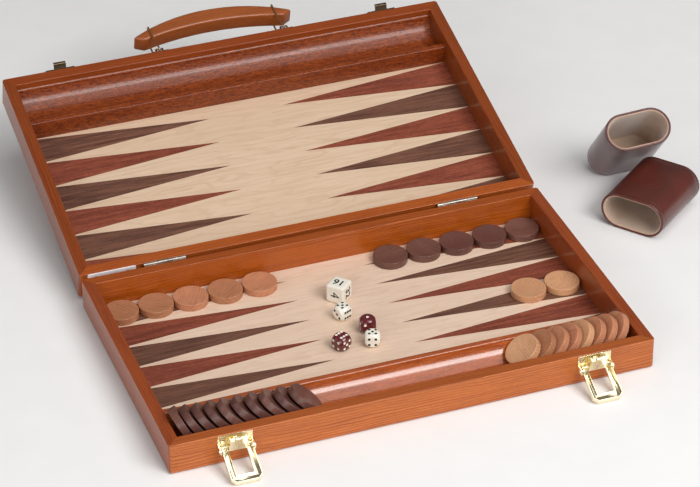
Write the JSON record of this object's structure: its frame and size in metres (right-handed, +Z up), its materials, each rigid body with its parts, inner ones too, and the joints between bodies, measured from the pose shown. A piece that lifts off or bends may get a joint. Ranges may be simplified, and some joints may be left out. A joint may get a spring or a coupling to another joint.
{
  "type": "folding board game case",
  "caption": "Folding wooden game case lying open, with inlaid triangle points, round checkers, dice, a doubling cube and two leather dice cups.",
  "frame": {"origin": "middle of the near tray's underside, on the table", "axes": "+X along the hinge line, to the right seen from the latches; +Y from the latches towards the hinged tray; +Z up"},
  "size_m": [0.6168, 0.6393, 0.1032],
  "materials": {
    "case_wood": "varnished red-brown",
    "board_maple": "pale, satin varnish",
    "point_walnut": "dark inlay",
    "point_red": "red-brown inlay",
    "brass": "polished",
    "hinge_metal": "bright plated",
    "grip": "varnished",
    "cup_leather": "smooth dark red-brown",
    "cup_fabric": "beige lining",
    "light_checker": "satin",
    "dark_checker": "satin",
    "ivory": "polished ivory white",
    "red_die": "polished dark red"
  },
  "bodies": {
    "near_half": {"near_front_rail": "case_wood", "near_hinge_rail": "case_wood", "near_left_rail": "case_wood", "near_right_rail": "case_wood", "near_board": "board_maple", "near_dark_points": "point_walnut", "near_red_points": "point_red", "near_trough": "case_wood", "near_screws": "brass", "left_hinge_near_leaf": "hinge_metal", "right_hinge_near_leaf": "hinge_metal", "hinge_pins": "hinge_metal", "left_latch_plate": "brass", "right_latch_plate": "brass", "latch_rivets": "brass"},
    "far_half": {"far_outer_rail": "case_wood", "far_hinge_rail": "case_wood", "far_left_rail": "case_wood", "far_right_rail": "case_wood", "far_board": "board_maple", "far_dark_points": "point_walnut", "far_red_points": "point_red", "far_trough": "case_wood", "far_screws": "brass", "left_hinge_far_leaf": "hinge_metal", "right_hinge_far_leaf": "hinge_metal", "far_seam_plate": "hinge_metal", "left_catch": "brass", "right_catch": "brass", "handle_brackets": "brass"},
    "handle": {"handle_grip": "grip", "handle_wires": "brass"},
    "left_lever": {"left_latch_lever": "brass"},
    "left_claw": {"left_latch_claw": "brass"},
    "right_lever": {"right_latch_lever": "brass"},
    "right_claw": {"right_latch_claw": "brass"},
    "light_checker_1_body": {"light_checker_1": "light_checker"},
    "light_checker_2_body": {"light_checker_2": "light_checker"},
    "light_checker_3_body": {"light_checker_3": "light_checker"},
    "light_checker_4_body": {"light_checker_4": "light_checker"},
    "light_checker_5_body": {"light_checker_5": "light_checker"},
    "light_checker_6_body": {"light_checker_6": "light_checker"},
    "light_checker_7_body": {"light_checker_7": "light_checker"},
    "dark_checker_1_body": {"dark_checker_1": "dark_checker"},
    "dark_checker_2_body": {"dark_checker_2": "dark_checker"},
    "dark_checker_3_body": {"dark_checker_3": "dark_checker"},
    "dark_checker_4_body": {"dark_checker_4": "dark_checker"},
    "dark_checker_5_body": {"dark_checker_5": "dark_checker"},
    "dark_store": {"stored_dark_checkers": "dark_checker"},
    "light_store": {"stored_light_checkers": "light_checker"},
    "white_die_1_body": {"white_die_1": "ivory"},
    "white_die_2_body": {"white_die_2": "ivory"},
    "red_die_1_body": {"red_die_1": "red_die"},
    "red_die_2_body": {"red_die_2": "red_die"},
    "doubling_cube_body": {"doubling_cube": "ivory"},
    "rear_cup": {"rear_cup_shell": "cup_leather", "rear_cup_lining": "cup_fabric"},
    "front_cup": {"front_cup_shell": "cup_leather", "front_cup_lining": "cup_fabric"}
  },
  "joints": [
    {"name": "case_hinge", "type": "hinge", "parent": "near_half", "child": "far_half", "pos_m": [0, 0.1392, 0.03115], "axis": [-1, 0, 0], "range_deg": [-166.1, 0]},
    {"name": "handle_swing", "type": "hinge", "parent": "far_half", "child": "handle", "pos_m": [0, 0.4134, 0.0954], "axis": [1, 0, 0], "range_deg": [-40, 90]},
    {"name": "left_latch_swing", "type": "hinge", "parent": "near_half", "child": "left_lever", "pos_m": [-0.17, -0.1426, 0.0175], "axis": [-1, 0, 0], "range_deg": [0, 115.5]},
    {"name": "left_claw_swing", "type": "hinge", "parent": "left_lever", "child": "left_claw", "pos_m": [-0.17, -0.14067, 0.0198], "axis": [-1, 0, 0], "range_deg": [-90.5, 0]},
    {"name": "right_latch_swing", "type": "hinge", "parent": "near_half", "child": "right_lever", "pos_m": [0.17, -0.1426, 0.0175], "axis": [-1, 0, 0], "range_deg": [0, 115.5]},
    {"name": "right_claw_swing", "type": "hinge", "parent": "right_lever", "child": "right_claw", "pos_m": [0.17, -0.14067, 0.0198], "axis": [-1, 0, 0], "range_deg": [-90.5, 0]},
    {"name": "light_checker_1_lift", "type": "slide", "parent": "near_half", "child": "light_checker_1_body", "axis": [0, 0, 1], "range_m": [0, 0.05]},
    {"name": "light_checker_2_lift", "type": "slide", "parent": "near_half", "child": "light_checker_2_body", "axis": [0, 0, 1], "range_m": [0, 0.05]},
    {"name": "light_checker_3_lift", "type": "slide", "parent": "near_half", "child": "light_checker_3_body", "axis": [0, 0, 1], "range_m": [0, 0.05]},
    {"name": "light_checker_4_lift", "type": "slide", "parent": "near_half", "child": "light_checker_4_body", "axis": [0, 0, 1], "range_m": [0, 0.05]},
    {"name": "light_checker_5_lift", "type": "slide", "parent": "near_half", "child": "light_checker_5_body", "axis": [0, 0, 1], "range_m": [0, 0.05]},
    {"name": "light_checker_6_lift", "type": "slide", "parent": "near_half", "child": "light_checker_6_body", "axis": [0, 0, 1], "range_m": [0, 0.05]},
    {"name": "light_checker_7_lift", "type": "slide", "parent": "near_half", "child": "light_checker_7_body", "axis": [0, 0, 1], "range_m": [0, 0.05]},
    {"name": "dark_checker_1_lift", "type": "slide", "parent": "near_half", "child": "dark_checker_1_body", "axis": [0, 0, 1], "range_m": [0, 0.05]},
    {"name": "dark_checker_2_lift", "type": "slide", "parent": "near_half", "child": "dark_checker_2_body", "axis": [0, 0, 1], "range_m": [0, 0.05]},
    {"name": "dark_checker_3_lift", "type": "slide", "parent": "near_half", "child": "dark_checker_3_body", "axis": [0, 0, 1], "range_m": [0, 0.05]},
    {"name": "dark_checker_4_lift", "type": "slide", "parent": "near_half", "child": "dark_checker_4_body", "axis": [0, 0, 1], "range_m": [0, 0.05]},
    {"name": "dark_checker_5_lift", "type": "slide", "parent": "near_half", "child": "dark_checker_5_body", "axis": [0, 0, 1], "range_m": [0, 0.05]},
    {"name": "dark_store_lift", "type": "slide", "parent": "near_half", "child": "dark_store", "axis": [0, 0, 1], "range_m": [0, 0.05]},
    {"name": "light_store_lift", "type": "slide", "parent": "near_half", "child": "light_store", "axis": [0, 0, 1], "range_m": [0, 0.05]},
    {"name": "white_die_1_lift", "type": "slide", "parent": "near_half", "child": "white_die_1_body", "axis": [0, 0, 1], "range_m": [0, 0.05]},
    {"name": "white_die_2_lift", "type": "slide", "parent": "near_half", "child": "white_die_2_body", "axis": [0, 0, 1], "range_m": [0, 0.05]},
    {"name": "red_die_1_lift", "type": "slide", "parent": "near_half", "child": "red_die_1_body", "axis": [0, 0, 1], "range_m": [0, 0.05]},
    {"name": "red_die_2_lift", "type": "slide", "parent": "near_half", "child": "red_die_2_body", "axis": [0, 0, 1], "range_m": [0, 0.05]},
    {"name": "doubling_cube_lift", "type": "slide", "parent": "near_half", "child": "doubling_cube_body", "axis": [0, 0, 1], "range_m": [0, 0.05]},
    {"name": "rear_cup_lift", "type": "slide", "parent": "near_half", "child": "rear_cup", "axis": [0, 0, 1], "range_m": [0, 0.08]},
    {"name": "front_cup_slide", "type": "slide", "parent": "near_half", "child": "front_cup", "axis": [0.622, -0.783, 0], "range_m": [0, 0.08]}
  ],
  "couplings": [
    {"joint": "left_claw_swing", "follows": "left_latch_swing", "ratio": -0.7836},
    {"joint": "right_claw_swing", "follows": "right_latch_swing", "ratio": -0.7836}
  ]
}
